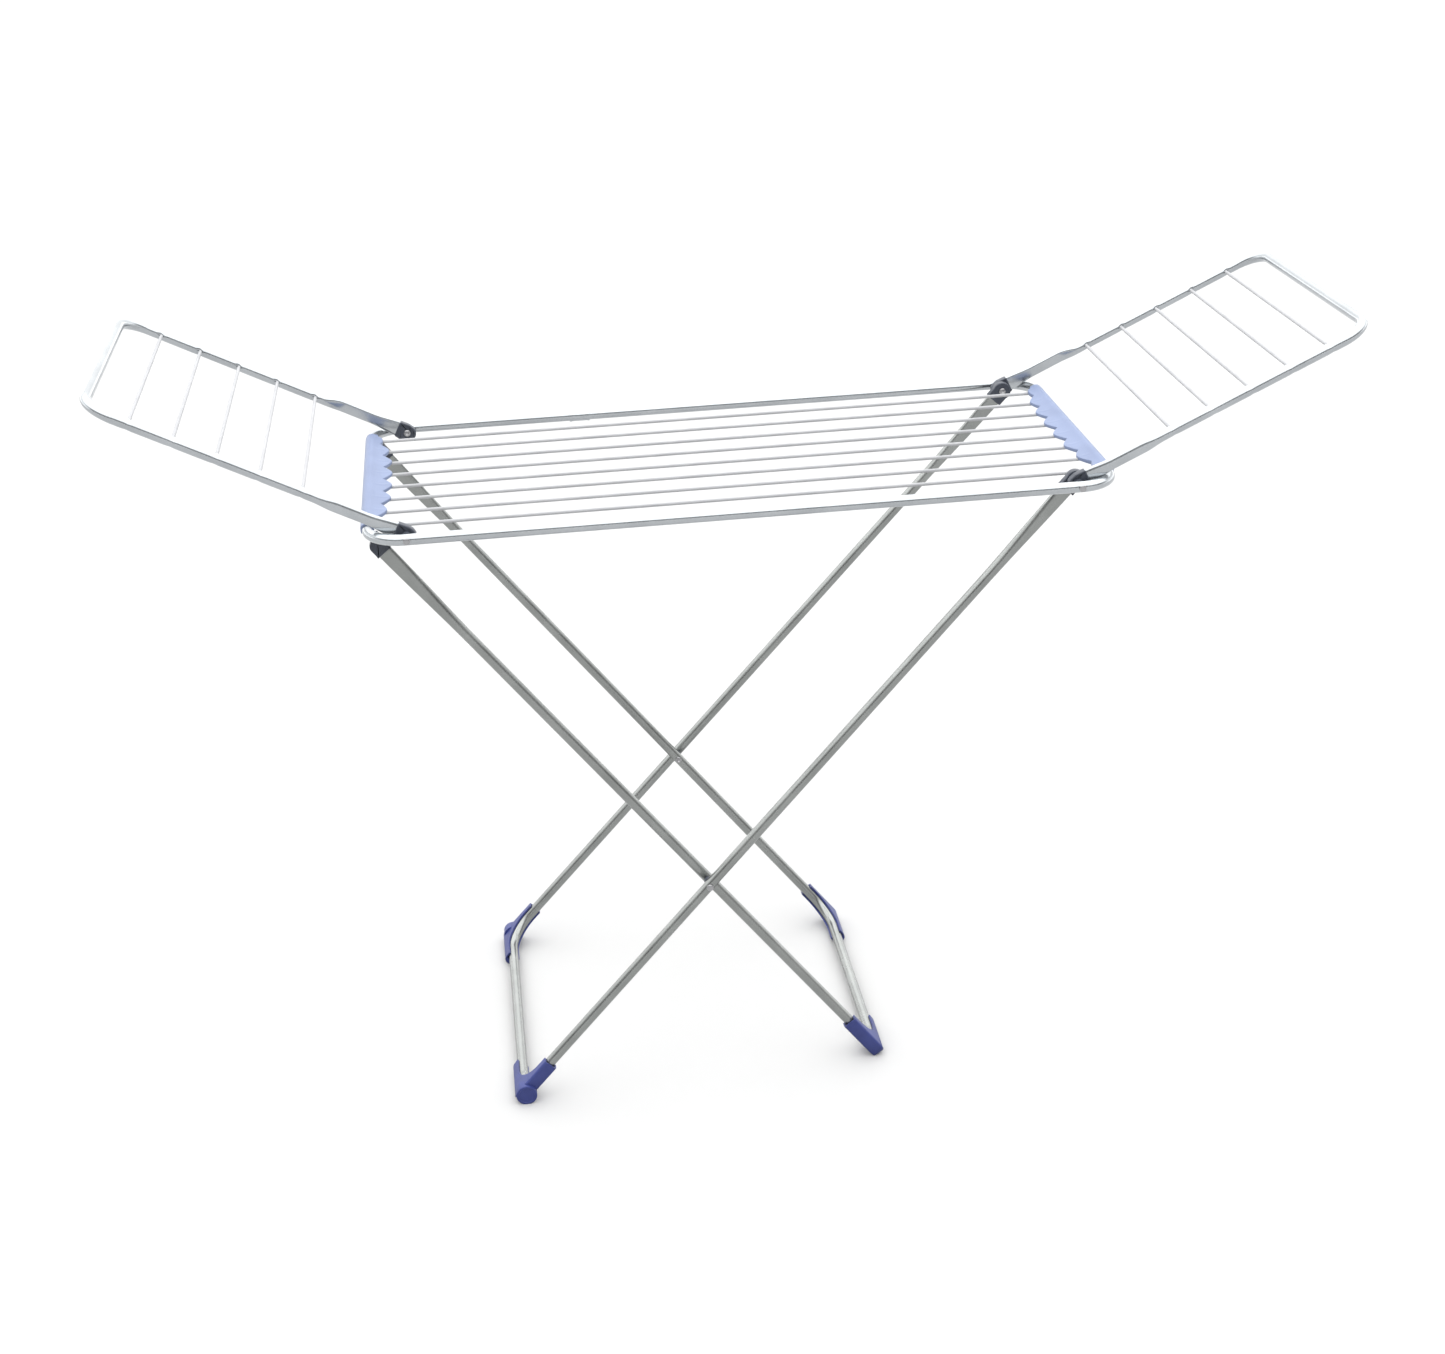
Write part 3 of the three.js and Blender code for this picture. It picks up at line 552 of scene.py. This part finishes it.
def make_centre_frame():
    hinge_xs = (pivots["left_wing_fold"].x, pivots["right_wing_fold"].x)
    corners = [(LEFT_END_X, 0), (LEFT_END_X, RAIL_Y), (RIGHT_END_X, RAIL_Y), (RIGHT_END_X, 0)]
    stations = route(corners, FRAME_BEND_R, [0])
    for x in hinge_xs:
        reach = 2 * RAIL_DIMPLE_REACH
        for near_x in (x + d for d in ladder(-reach, reach, RAIL_DIMPLE_REACH / 3)):
            if LEFT_END_X + FRAME_BEND_R < near_x < RIGHT_END_X - FRAME_BEND_R:
                stations.append((Vector((near_x, RAIL_Y, 0)), Vector((1, 0, 0)), 0))
    on_rail = [s for s in stations if s[0].y > RAIL_Y - MICRON]
    first = [s for s in stations if s not in on_rail and s[0].x < 0]
    last = [s for s in stations if s not in on_rail and s[0].x > 0]
    ordered = first + sorted(on_rail, key=lambda s: s[0].x) + last
    rings = []
    for point, direction, _ in ordered:
        on_side = point.y > RAIL_Y - MM
        near = min(abs(point.x - x) for x in hinge_xs) if on_side else math.inf
        dent = RAIL_DIMPLE * bell(near, RAIL_DIMPLE_REACH)
        rings.append(tube_ring(point, direction, round_section(outer_dent=dent, inner_dent=dent)))
    loop = rings + mirrored(rings)[1:-1]
    add_piece("centre_frame_tube", loft(loop, closed=True), Matrix.Translation((0, 0, FRAME_Z)))

    middle = centre("frame_joint_sleeve")
    low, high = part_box("frame_joint_sleeve")
    half = (high.x - low.x) / 2
    lip = SLEEVE_LIP
    waist = SLEEVE_R - lip
    profile = [
        (TUBE_R, -half), (waist, -half), (SLEEVE_R, -half + lip), (SLEEVE_R, -half + 5 * lip),
        (waist, -half + 7 * lip), (waist, half - 7 * lip),
        (SLEEVE_R, half - 5 * lip), (SLEEVE_R, half - lip), (waist, half), (TUBE_R, half),
    ]
    turn = Matrix.Translation(middle) @ Matrix.Rotation(math.radians(-90), 4, "Z")
    add_piece("frame_joint_sleeve", lathe(profile, TUBE_SIDES), turn)


def make_wires():
    for node in WIRES:
        low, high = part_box(node)
        place = centre(node)
        start, end = Vector((low.x, place.y, place.z)), Vector((high.x, place.y, place.z))
        add_piece(node, bar(ROD_R, ROD_SIDES, start, end, ROD_BEVEL))


def comb_reach(y):
    """How far inward the comb's toothed edge is at y: a tooth at each wire."""
    taper = min(1, abs(y) / OUTER_WIRE_Y) ** 3
    tip = COMB_TIP_REACH - COMB_TIP_FALL * taper
    valley = COMB_VALLEY_REACH - COMB_VALLEY_FALL * taper
    beyond = abs(y) - OUTER_WIRE_Y
    nearest = min(abs(y - wire) for wire in WIRE_YS)
    away = min(1, beyond / COMB_END_RAMP) if beyond > 0 else 2 * nearest / WIRE_PITCH
    return valley + (tip - valley) * (1 - away**COMB_TOOTH_POWER)


def comb_section(y, half_length):
    """The comb's closed section at y, as (inward, height) pairs about the tube's axis. Its
    shell is cut back at both ends for the round corners that it has from above."""
    reach = comb_reach(y)
    nearest = min(abs(y - wire) for wire in WIRE_YS)
    boss = COMB_BOSS_HEIGHT * bell(nearest, COMB_BOSS_HALF_WIDTH / 2)
    edge = COMB_EDGE_ROUND
    ridge = math.radians(COMB_RIDGE_ANGLE)
    shell_end = COMB_SHELL_R * math.cos(ridge)
    ridge_height = COMB_SHELL_R * math.sin(ridge) - COMB_PLATE_TOP
    inner = math.asin(COMB_PLATE_BOTTOM / TUBE_R)
    into_corner = max(0, abs(y) - (half_length - COMB_CORNER))
    limit = COMB_CORNER - COMB_SHELL_R - math.sqrt(max(0, COMB_CORNER**2 - into_corner**2))
    trimmed = limit > -TUBE_R - COMB_THIN_WALL
    outer_end, inner_end = (
        math.degrees(math.acos(max(-1, limit / radius))) if trimmed else COMB_SKIRT_ANGLE
        for radius in (COMB_SHELL_R, TUBE_R)
    )

    def top(u):
        flat = COMB_PLATE_TOP - COMB_TOP_FALL * (u - shell_end)
        left = max(0, 1 - (u - shell_end) / COMB_SLOPE_LENGTH)
        rise = smooth(u, shell_end, COMB_BOSS_RISE * shell_end)
        return flat + ridge_height * left * left + boss * rise

    steps = COMB_PLATE_STEPS
    plate_us = [shell_end + (reach - edge - shell_end) * i / steps for i in range(1, steps + 1)]
    cut = COMB_EDGE_CUT * edge
    section = arc(0, 0, COMB_SHELL_R, outer_end, COMB_RIDGE_ANGLE, steps=18)
    section += [(u, top(u)) for u in plate_us]
    section += [(reach - cut, top(reach) - cut), (reach, top(reach) - edge)]
    section += [(reach, COMB_PLATE_BOTTOM + edge), (reach - cut, COMB_PLATE_BOTTOM + cut)]
    section += [(reach - edge, COMB_PLATE_BOTTOM)]
    section += arc(0, 0, TUBE_R, math.degrees(inner), inner_end, steps=16)
    return [(max(u, limit), z) for u, z in section]


def make_comb(node, tube_x, inward):
    low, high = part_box(node)
    half_length = (high.y - low.y) / 2
    end_ys = [half_length - d for d in COMB_END_STEPS]
    ys = ladder(-end_ys[-1], end_ys[-1], COMB_STEP)[1:-1]
    ys = sorted([-y for y in end_ys] + ys + end_ys)
    rings = [[Vector((inward * u, y, z)) for u, z in comb_section(y, half_length)] for y in ys]
    add_piece(node, loft(rings), Matrix.Translation((tube_x, 0, FRAME_Z)))


# ---- Rivets and washers --------------------------------------------------------------------

def rivet(outer_y, inner_y):
    """A rivet along +Y with a domed outer head and a pressed inner one."""
    head, rise = RIVET_HEAD_R, RIVET_HEAD_T
    profile = [(r * head, inner_y - h * rise) for r, h in RIVET_INNER_HEAD]
    profile += [(RIVET_R, inner_y), (RIVET_R, outer_y - RIVET_RIM * rise)]
    profile += [(r * head, outer_y + h * rise) for r, h in RIVET_OUTER_HEAD]
    return lathe(profile, ROUND_SIDES)


def washer(inner_r, outer_r, low_y, high_y):
    soft = WASHER_SOFT
    profile = [
        (inner_r, low_y), (outer_r - soft, low_y), (outer_r, low_y + soft),
        (outer_r, high_y - soft), (outer_r - soft, high_y), (inner_r, high_y),
    ]
    return lathe(profile, ROUND_SIDES)


def side_place(node, side):
    """Puts a piece drawn for the +Y side on its own side, at its node's X and Z."""
    place = centre(node)
    turn = Matrix.Identity(4) if side > 0 else Matrix.Rotation(math.pi, 4, "X")
    return Matrix.Translation((place.x, 0, place.z)) @ turn


def make_rivets_and_washers():
    for node in frame["nodes"]:
        low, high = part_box(node)
        near, far = min(abs(low.y), abs(high.y)), max(abs(low.y), abs(high.y))
        side = math.copysign(1, centre(node).y)
        if node.endswith("_rivet"):
            add_piece(node, rivet(far - RIVET_HEAD_T, near + RIVET_HEAD_T), side_place(node, side))
        elif node.endswith(("_washer", "_spacer")):
            ring = washer(RIVET_R + WASHER_EASE, (high.z - low.z) / 2, near, far)
            add_piece(node, ring, side_place(node, side))


# ---- Wings ---------------------------------------------------------------------------------

def make_cap(node, outline, place):
    """A moulded cap round a pressed tube end, as deep as its node, with sunken faces."""
    low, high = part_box(node)
    cap = plate(outline, low.y, high.y, CAP_BEVEL, rim=CAP_RIM, recess=CAP_RECESS)
    add_piece(node, cap, place)


def make_wing(end, normal_sign):
    pivot = pivots[f"{end}_wing_fold"]
    rods = sorted(n for n in frame["nodes"] if n.startswith(f"{end}_wing_rod_"))
    last_rod = centre(rods[-1])
    place = local_frame(pivot, last_rod - pivot)
    rod_ts = [(centre(n) - pivot).length for n in rods]
    low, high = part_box(f"{end}_wing_tube")
    tip_x = high.x - TUBE_R if end == "right" else low.x + TUBE_R
    length = (tip_x - pivot.x) / (last_rod - pivot).normalized().x

    def section_at(s):
        t = s + BLADE_START
        press = 1 - smooth(t, WING_BLADE_END, WING_ROUND_AGAIN)
        spread = 1 - smooth(t, BLADE_NOSE, WING_BLADE_NARROWS)
        wide = 2 * TUBE_R + press * (MM + (WING_BLADE_W - MM - 2 * TUBE_R) * spread)
        width = nose_width(t, WING_BLADE_W) if t < BLADE_NOSE else wide
        at_rod = bell(min(abs(t - r) for r in rod_ts), ROD_DIMPLE_REACH)
        width -= ROD_PINCH * at_rod
        return pressed(press, width, WING_BLADE_SHIFT, inner_dent=ROD_DIMPLE * at_rod)

    stops = ladder(BLADE_START, BLADE_NOSE, NOSE_STEP)
    stops += ladder(BLADE_NOSE, WING_ROUND_AGAIN, WING_BLADE_STEP)[1:]
    for r in rod_ts:
        stops += ladder(r - 2 * ROD_DIMPLE_REACH, r + 2 * ROD_DIMPLE_REACH, ROD_DIMPLE_REACH / 3)
    stops = sorted(set(round(s - BLADE_START, MICRON_DIGITS) for s in stops))
    corners = [(BLADE_START, WING_ARM_Y), (length, WING_ARM_Y), (length, 0)]
    add_piece(f"{end}_wing_tube", u_tube(corners, WING_BEND_R, stops, section_at), place)

    for node in rods:
        middle = centre(node)
        reach = Vector((0, WING_ARM_Y - TUBE_R / 2, 0))
        add_piece(node, bar(ROD_R, ROD_SIDES, middle - reach, middle + reach, ROD_BEVEL))

    outline = [(x * MM, normal_sign * z * MM) for x, z in WING_CAP_OUTLINE]
    outline = rounded(outline, WING_CAP_CORNER)
    for side_name, _ in SIDES:
        make_cap(f"{end}_wing_{side_name}_cap", outline, place)


# ---- Legs ----------------------------------------------------------------------------------

def leg_tube(node, place, start_x, length, top_y, foot_y):
    def section_at(s):
        t = s + BLADE_START
        press = 1 - smooth(t, BLADE_NOSE, LEG_ROUND_AGAIN)
        wide = 2 * TUBE_R + (BLADE_W - 2 * TUBE_R) * press
        width = nose_width(t, BLADE_W) if t < BLADE_NOSE else wide
        return pressed(press, width, 0)

    nose_end = BLADE_NOSE - BLADE_START
    stops = ladder(0, nose_end, NOSE_STEP)
    stops += ladder(nose_end, LEG_ROUND_AGAIN - BLADE_START, LEG_BLADE_STEP)[1:]
    lean = (foot_y - top_y) / length
    corners = [(start_x, top_y + lean * start_x), (length, foot_y), (length, 0)]
    # The legs take the tubes' paint darkened as painted shade
    add_piece(node, u_tube(corners, LEG_BEND_R, stops, section_at), place, LEG_PAINT_PAINTED_SHADE)


def shoe_heel(length, foot_y, side):
    """The round heel on the shoe's outer side, with a shallow dish in its face."""
    outer = foot_y + SHOE_OUT + HEEL_PROUD
    soft = HEEL_SOFT
    profile = [
        (0, outer - HEEL_LENGTH), (HEEL_R, outer - HEEL_LENGTH), (HEEL_R, outer - soft),
        (HEEL_R - 0.3 * soft, outer - 0.3 * soft), (HEEL_R - soft, outer),
        (HEEL_R - 3 * soft, outer), (HEEL_R - 3.4 * soft, outer - 0.5 * soft),
        (0, outer - 0.5 * soft),
    ]
    heel = lathe(profile, 2 * ROUND_SIDES)
    flip = Matrix.Identity(4) if side > 0 else Matrix.Rotation(math.pi, 4, "X")
    spin = Matrix.Translation((length + HEEL_ALONG, 0, HEEL_NORMAL)) @ flip
    bmesh.ops.transform(heel, matrix=spin, verts=heel.verts)
    return heel


def shoe_nose(length, foot_y, side):
    """A prism along Y with a full round end, which gives the shoe its nose."""
    half = SHOE_HALF_T + SHOE_EASE
    outline = [(length - 2 * SHOE_ALONG_BAR, half)]
    for z in ladder(-half, half, SHOE_NOSE_STEP)[::-1]:
        fullness = 1 - abs(z / half) ** SHOE_NOSE_FULLNESS
        outline.append((length + SHOE_NOSE * fullness ** (1 / SHOE_NOSE_FULLNESS), z))
    outline.append((length - 2 * SHOE_ALONG_BAR, -half))
    low, high = sorted((side * (foot_y + 2 * SHOE_OUT), side * (foot_y - 2 * SHOE_ALONG_BAR)))
    return plate(outline, low, high, 0)


def make_shoe(node, place, length, top_y, foot_y, side, has_heel):
    """A corner shoe: a channel round the bend, open to the inside of the U."""
    up_leg = Vector((-length, side * (top_y - foot_y))).normalized()

    def spots(pairs):
        """(up the leg, along the bar) pairs, in the leg's own plane."""
        return [
            (length + up_leg.x * up, side * foot_y + up_leg.y * up - side * along)
            for up, along in pairs
        ]

    inner = LEG_BEND_R - SHOE_IN
    past = SHOE_CUT_PAST
    outer_side = [(SHOE_UP_LEG, -SHOE_OUT)]
    outer_side += arc(
        SHOE_CORNER - SHOE_NOSE, SHOE_CORNER - SHOE_OUT, SHOE_CORNER, 270, 180, steps=8
    )
    outer_side += [(-SHOE_NOSE, SHOE_ALONG_BAR)]
    body = outer_side + [(SHOE_IN, SHOE_ALONG_BAR)]
    body += arc(LEG_BEND_R, LEG_BEND_R, inner, 180, 270, steps=14) + [(SHOE_UP_LEG, SHOE_IN)]
    channel = [(SHOE_UP_LEG + past, -SHOE_BORE)]
    channel += arc(LEG_BEND_R, LEG_BEND_R, LEG_BEND_R + SHOE_BORE, 270, 180, steps=12)
    channel += [(-SHOE_BORE, SHOE_ALONG_BAR + past), (SHOE_IN + past, SHOE_ALONG_BAR + past)]
    channel += arc(LEG_BEND_R, LEG_BEND_R, inner - past, 180, 270, steps=10)
    channel += [(SHOE_UP_LEG + past, SHOE_IN + past)]

    block = plate(spots(body), -SHOE_HALF_T, SHOE_HALF_T, 0, axis="z")
    rounded_spots = {
        (round(x, MICRON_DIGITS), round(y, MICRON_DIGITS)) for x, y in spots(outer_side)
    }
    rims = [
        e for e in block.edges
        if abs(e.verts[0].co.z - e.verts[1].co.z) < SHOE_EASE and all(
            (round(v.co.x, MICRON_DIGITS), round(v.co.y, MICRON_DIGITS)) in rounded_spots
            for v in e.verts
        )
    ]
    bmesh.ops.bevel(
        block, geom=rims, offset=SHOE_BEVEL, segments=4, profile=0.5, affect="EDGES"
    )
    tools = [("INTERSECT", shoe_nose(length, foot_y, side))]
    if has_heel:
        tools.append(("UNION", shoe_heel(length, foot_y, side)))
    tools.append(("DIFFERENCE", plate(spots(channel), -SHOE_BORE, SHOE_BORE, 0, axis="z")))
    bm = boolean(block, tools)
    bmesh.ops.transform(bm, matrix=place, verts=bm.verts)
    for v in bm.verts:
        v.co.z = max(v.co.z, 0)
    add_piece(node, bm)


def make_outer_legs():
    pivot, crossing = pivots["leg_fold"], pivots["leg_cross"]
    low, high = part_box("outer_leg_tube")
    down = (crossing - pivot).normalized()
    length = (low.z + TUBE_R - pivot.z) / down.z
    foot_y = high.y - TUBE_R
    place = local_frame(pivot, down)
    leg_tube("outer_leg_tube", place, BLADE_START, length, OUTER_TOP_Y, foot_y)
    outline = [(OUTER_CAP_END, OUTER_CAP_HALF_WIDTH)]
    outline += arc(0, 0, OUTER_CAP_R, *OUTER_CAP_ARC, steps=18)
    outline += [(OUTER_CAP_END, -OUTER_CAP_HALF_WIDTH)]
    for side_name, side in SIDES:
        make_cap(f"outer_leg_{side_name}_cap", outline, place)
        foot = f"outer_leg_{side_name}_foot"
        make_shoe(foot, place, length, OUTER_TOP_Y, foot_y, side, has_heel=True)


def make_inner_legs():
    low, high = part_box("inner_leg_tube")
    top = Vector((LEFT_END_X + INNER_TOP_INWARD, 0, FRAME_Z - INNER_TOP_DROP))
    foot = Vector((high.x - TUBE_R, 0, low.z + TUBE_R))
    length = (foot - top).length
    leg_y = high.y - TUBE_R
    place = local_frame(top, foot - top)
    leg_tube("inner_leg_tube", place, INNER_TUBE_START, length, leg_y, leg_y)
    outline = rounded([(x * MM, z * MM) for x, z in HOOK_CAP_OUTLINE], HOOK_CAP_CORNER)
    for side_name, side in SIDES:
        make_cap(f"inner_leg_{side_name}_cap", outline, place)
        foot = f"inner_leg_{side_name}_foot"
        make_shoe(foot, place, length, leg_y, leg_y, side, has_heel=False)


make_centre_frame()
make_wires()
make_comb("left_comb", LEFT_END_X, 1)
make_comb("right_comb", RIGHT_END_X, -1)
make_rivets_and_washers()
make_wing("left", -1)
make_wing("right", 1)
make_outer_legs()
make_inner_legs()


# ---- Stage, light and camera ---------------------------------------------------------------

FLOOR_HALF = 40.0
FLOOR_DROP = 0.2 * MM
FLOOR_TONE = 0.412
FLOOR_ROUGHNESS = 0.9
FLOOR_SPECULAR = 0.1

# Parts of the sky, as ramps over one part of the direction: low, high, and the light at each
SKY_STRENGTH = 3.1
CEILING_START = (0.24, 0.66)
BACK_WALL = (-0.45, 0.35, 0.02, 0.5)
HORIZON_GLOW = (0.05, 0.13, 0.4, 0)


def make_floor():
    bm = bmesh.new()
    corners = [(-1, -1), (1, -1), (1, 1), (-1, 1)]
    points = [(x * FLOOR_HALF, y * FLOOR_HALF, -FLOOR_DROP) for x, y in corners]
    bm.faces.new([bm.verts.new(p) for p in points])
    mesh = bpy.data.meshes.new("floor")
    bm.to_mesh(mesh)
    bm.free()
    floor = bpy.data.objects.new("floor", mesh)
    bpy.context.scene.collection.objects.link(floor)
    material = bpy.data.materials.new("pale_floor")
    material.use_nodes = True
    shader = material.node_tree.nodes["Principled BSDF"]
    shader.inputs["Base Color"].default_value = (FLOOR_TONE, FLOOR_TONE, FLOOR_TONE, 1)
    shader.inputs["Roughness"].default_value = FLOOR_ROUGHNESS
    shader.inputs["Specular IOR Level"].default_value = FLOOR_SPECULAR
    mesh.materials.append(material)


def make_sky():
    """A bright studio ceiling, a bright wall behind the rack, a dark wall before it, and a
    thin glow along the horizon."""
    world = bpy.data.worlds.new("studio")
    bpy.context.scene.world = world
    world.use_nodes = True
    nodes, links = world.node_tree.nodes, world.node_tree.links
    place = nodes.new("ShaderNodeTexCoord")
    split = nodes.new("ShaderNodeSeparateXYZ")
    links.new(place.outputs["Generated"], split.inputs["Vector"])

    def ramp(axis, low, high, value_low, value_high):
        node = nodes.new("ShaderNodeMapRange")
        node.interpolation_type = "SMOOTHSTEP"
        node.inputs["From Min"].default_value = low
        node.inputs["From Max"].default_value = high
        node.inputs["To Min"].default_value = value_low
        node.inputs["To Max"].default_value = value_high
        links.new(split.outputs[axis], node.inputs["Value"])
        return node.outputs["Result"]

    def combine(operation, first, second):
        node = nodes.new("ShaderNodeMath")
        node.operation = operation
        links.new(first, node.inputs[0])
        links.new(second, node.inputs[1])
        return node.outputs["Value"]

    low_sky = combine("MULTIPLY", ramp("Y", *BACK_WALL), ramp("Z", *CEILING_START, 1, 0))
    high_sky = combine("ADD", ramp("Z", *CEILING_START, 0, 1), ramp("Z", *HORIZON_GLOW))
    light = combine("ADD", low_sky, high_sky)
    background = nodes["Background"]
    background.inputs["Color"].default_value = (1, 1, 1, 1)
    scale = nodes.new("ShaderNodeMath")
    scale.operation = "MULTIPLY"
    scale.inputs[1].default_value = SKY_STRENGTH
    links.new(light, scale.inputs[0])
    links.new(scale.outputs["Value"], background.inputs["Strength"])


CAMERA_TARGET = Vector((-0.0245, 0, 0.567))
CAMERA_AZIMUTH = math.radians(-5.82)
CAMERA_ELEVATION = math.radians(22.77)
CAMERA_ROLL = math.radians(-2.59)
CAMERA_DISTANCE = 3.7252
CAMERA_LENS = 59.71
CAMERA_SENSOR = 36


def make_camera():
    back = Vector((
        math.sin(CAMERA_AZIMUTH) * math.cos(CAMERA_ELEVATION),
        -math.cos(CAMERA_AZIMUTH) * math.cos(CAMERA_ELEVATION),
        math.sin(CAMERA_ELEVATION),
    ))
    right = Vector((0, 0, 1)).cross(back).normalized()
    up = back.cross(right)
    turned_right = right * math.cos(CAMERA_ROLL) + up * math.sin(CAMERA_ROLL)
    turned_up = up * math.cos(CAMERA_ROLL) - right * math.sin(CAMERA_ROLL)
    data = bpy.data.cameras.new("camera")
    data.sensor_width = CAMERA_SENSOR
    data.lens = CAMERA_LENS
    camera = bpy.data.objects.new("camera", data)
    camera.matrix_world = Matrix.Translation(CAMERA_TARGET + back * CAMERA_DISTANCE) @ Matrix(
        (turned_right, turned_up, back)
    ).transposed().to_4x4()
    bpy.context.scene.collection.objects.link(camera)
    bpy.context.scene.camera = camera


make_floor()
make_sky()
make_camera()
bpy.context.scene.view_settings.view_transform = "Standard"
